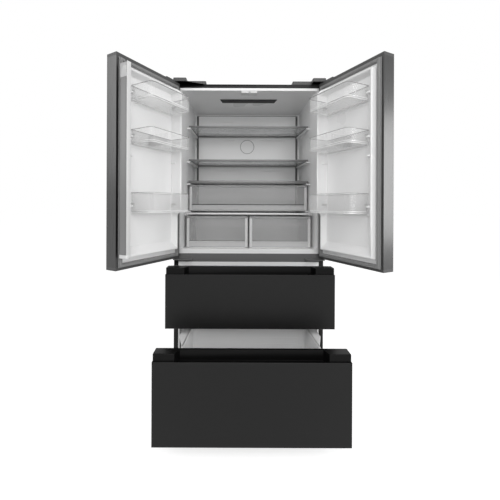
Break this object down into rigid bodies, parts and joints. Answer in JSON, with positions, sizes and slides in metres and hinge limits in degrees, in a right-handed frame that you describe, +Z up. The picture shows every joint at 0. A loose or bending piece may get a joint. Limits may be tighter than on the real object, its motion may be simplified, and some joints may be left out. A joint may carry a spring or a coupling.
{
  "type": "refrigerator",
  "caption": "French-door refrigerator over pull-out freezer drawers, drawn open, with sliding shelves, crispers, door bins, a flipping mullion, slides, seals, feet and rollers.",
  "frame": {"origin": "on the floor, midway between the cabinet sides, within 12 mm of the middle of the footprint as drawn", "axes": "+Z up, +Y to the back of the cabinet, +X to the right seen from the front"},
  "size_m": [1.2664, 1.0194, 1.76],
  "materials": {
    "door_steel": "dark brushed steel with a clear coat",
    "case_paint": "dark grey textured paint",
    "rail_paint": "grey satin paint",
    "base_paint": "black satin paint",
    "liner_white": "glossy white moulded sheet",
    "foam_cream": "foamed-in-place insulation",
    "cap_dark": "dark grey moulded plastic",
    "handle_black": "glossy black moulded plastic",
    "gasket_grey": "soft grey seal",
    "mullion_grey": "dark grey bar",
    "clear_plastic": "clear moulded plastic",
    "shelf_glass": "tempered glass",
    "trim_white": "pale grey moulded trim",
    "slide_zinc": "zinc-plated sheet",
    "coil_aluminium": "bare aluminium",
    "fan_grey": "moulded blades",
    "foot_black": "black moulded plastic"
  },
  "bodies": {
    "cabinet": {"back_panel": "case_paint", "base_pan": "base_paint", "cabinet_foam": "foam_cream", "ceiling_lamp": "trim_white", "compressor": "base_paint", "condenser": "base_paint", "crisper_cover": "shelf_glass", "cross_rails": "rail_paint", "deli_cover": "shelf_glass", "door_hinges": "rail_paint", "duct_panel": "liner_white", "evaporator": "coil_aluminium", "evaporator_cover": "liner_white", "freezer_liner": "liner_white", "fridge_liner": "liner_white", "hinge_covers": "cap_dark", "levelling_feet": "foot_black", "machine_cover": "base_paint", "mullion_guide": "liner_white", "outer_panels": "case_paint", "slide_rails": "slide_zinc"},
    "left_door": {"left_door_skin": "door_steel", "left_door_caps": "cap_dark", "left_door_foam": "foam_cream", "left_door_liner": "liner_white", "left_door_gasket": "gasket_grey"},
    "right_door": {"right_door_skin": "door_steel", "right_door_caps": "cap_dark", "right_door_foam": "foam_cream", "right_door_liner": "liner_white", "right_door_gasket": "gasket_grey"},
    "mullion": {"mullion": "mullion_grey"},
    "shelf_upper": {"shelf_frame_upper": "trim_white", "shelf_glass_upper": "shelf_glass"},
    "shelf_lower": {"shelf_frame_lower": "trim_white", "shelf_glass_lower": "shelf_glass"},
    "deli_drawer": {"deli_drawer": "clear_plastic"},
    "crisper_left": {"crisper_left": "clear_plastic"},
    "crisper_right": {"crisper_right": "clear_plastic"},
    "upper_drawer": {"upper_drawer_front": "door_steel", "upper_drawer_handle": "handle_black", "upper_drawer_core": "foam_cream", "upper_drawer_frame": "slide_zinc", "upper_basket": "liner_white"},
    "lower_drawer": {"lower_drawer_front": "door_steel", "lower_drawer_handle": "handle_black", "lower_drawer_core": "foam_cream", "lower_drawer_frame": "slide_zinc", "lower_basket": "liner_white"},
    "upper_slide_middle": {"upper_slide_middle": "slide_zinc"},
    "lower_slide_middle": {"lower_slide_middle": "slide_zinc"},
    "condenser_fan": {"condenser_fan": "fan_grey"},
    "evaporator_fan": {"evaporator_fan": "fan_grey"},
    "rear_rollers": {"rear_rollers": "foot_black"},
    "left_bin_top": {"left_bin_top": "clear_plastic"},
    "left_bin_middle": {"left_bin_middle": "clear_plastic"},
    "left_bin_bottom": {"left_bin_bottom": "clear_plastic"},
    "right_bin_top": {"right_bin_top": "clear_plastic"},
    "right_bin_middle": {"right_bin_middle": "clear_plastic"},
    "right_bin_bottom": {"right_bin_bottom": "clear_plastic"}
  },
  "joints": [
    {"name": "left_door", "type": "hinge", "parent": "cabinet", "child": "left_door", "pos_m": [-0.4045, -0.085, 0], "axis": [0, 0, -1], "range_deg": [-120, 0]},
    {"name": "right_door", "type": "hinge", "parent": "cabinet", "child": "right_door", "pos_m": [0.4045, -0.085, 0], "axis": [0, 0, 1], "range_deg": [-116, 4]},
    {"name": "mullion_flip", "type": "hinge", "parent": "left_door", "child": "mullion", "pos_m": [-0.56513, -0.44172, 0], "axis": [0, 0, 1], "range_deg": [-90, 0]},
    {"name": "shelf_upper_slide", "type": "slide", "parent": "cabinet", "child": "shelf_upper", "axis": [0, -1, 0], "range_m": [0, 0.15]},
    {"name": "shelf_lower_slide", "type": "slide", "parent": "cabinet", "child": "shelf_lower", "axis": [0, -1, 0], "range_m": [0, 0.15]},
    {"name": "deli_drawer_slide", "type": "slide", "parent": "cabinet", "child": "deli_drawer", "axis": [0, -1, 0], "range_m": [0, 0.18]},
    {"name": "crisper_left_slide", "type": "slide", "parent": "cabinet", "child": "crisper_left", "axis": [0, -1, 0], "range_m": [0, 0.28]},
    {"name": "crisper_right_slide", "type": "slide", "parent": "cabinet", "child": "crisper_right", "axis": [0, -1, 0], "range_m": [0, 0.28]},
    {"name": "upper_drawer_slide", "type": "slide", "parent": "cabinet", "child": "upper_drawer", "axis": [0, -1, 0], "range_m": [-0.1375, 0.2625]},
    {"name": "lower_drawer_slide", "type": "slide", "parent": "cabinet", "child": "lower_drawer", "axis": [0, -1, 0], "range_m": [-0.372, 0.028]},
    {"name": "upper_middle_slide", "type": "slide", "parent": "cabinet", "child": "upper_slide_middle", "axis": [0, -1, 0], "range_m": [-0.06875, 0.13125]},
    {"name": "lower_middle_slide", "type": "slide", "parent": "cabinet", "child": "lower_slide_middle", "axis": [0, -1, 0], "range_m": [-0.186, 0.014]},
    {"name": "left_bin_top_lift", "type": "slide", "parent": "left_door", "child": "left_bin_top", "axis": [0, 0, 1], "range_m": [0, 0.035]},
    {"name": "left_bin_middle_lift", "type": "slide", "parent": "left_door", "child": "left_bin_middle", "axis": [0, 0, 1], "range_m": [0, 0.035]},
    {"name": "left_bin_bottom_lift", "type": "slide", "parent": "left_door", "child": "left_bin_bottom", "axis": [0, 0, 1], "range_m": [0, 0.035]},
    {"name": "right_bin_top_lift", "type": "slide", "parent": "right_door", "child": "right_bin_top", "axis": [0, 0, 1], "range_m": [0, 0.035]},
    {"name": "right_bin_middle_lift", "type": "slide", "parent": "right_door", "child": "right_bin_middle", "axis": [0, 0, 1], "range_m": [0, 0.035]},
    {"name": "right_bin_bottom_lift", "type": "slide", "parent": "right_door", "child": "right_bin_bottom", "axis": [0, 0, 1], "range_m": [0, 0.035]},
    {"name": "condenser_fan_spin", "type": "hinge", "parent": "cabinet", "child": "condenser_fan", "pos_m": [0.06, 0.39375, 0.1095], "axis": [1, 0, 0], "continuous": true},
    {"name": "evaporator_fan_spin", "type": "hinge", "parent": "cabinet", "child": "evaporator_fan", "pos_m": [0, 0.317, 0.6245], "axis": [0, 1, 0], "continuous": true},
    {"name": "roller_spin", "type": "hinge", "parent": "cabinet", "child": "rear_rollers", "pos_m": [0, 0.463, 0.018], "axis": [1, 0, 0], "continuous": true}
  ],
  "couplings": [
    {"joint": "mullion_flip", "follows": "left_door", "ratio": 0.75},
    {"joint": "upper_middle_slide", "follows": "upper_drawer_slide", "ratio": 0.5},
    {"joint": "lower_middle_slide", "follows": "lower_drawer_slide", "ratio": 0.5}
  ]
}
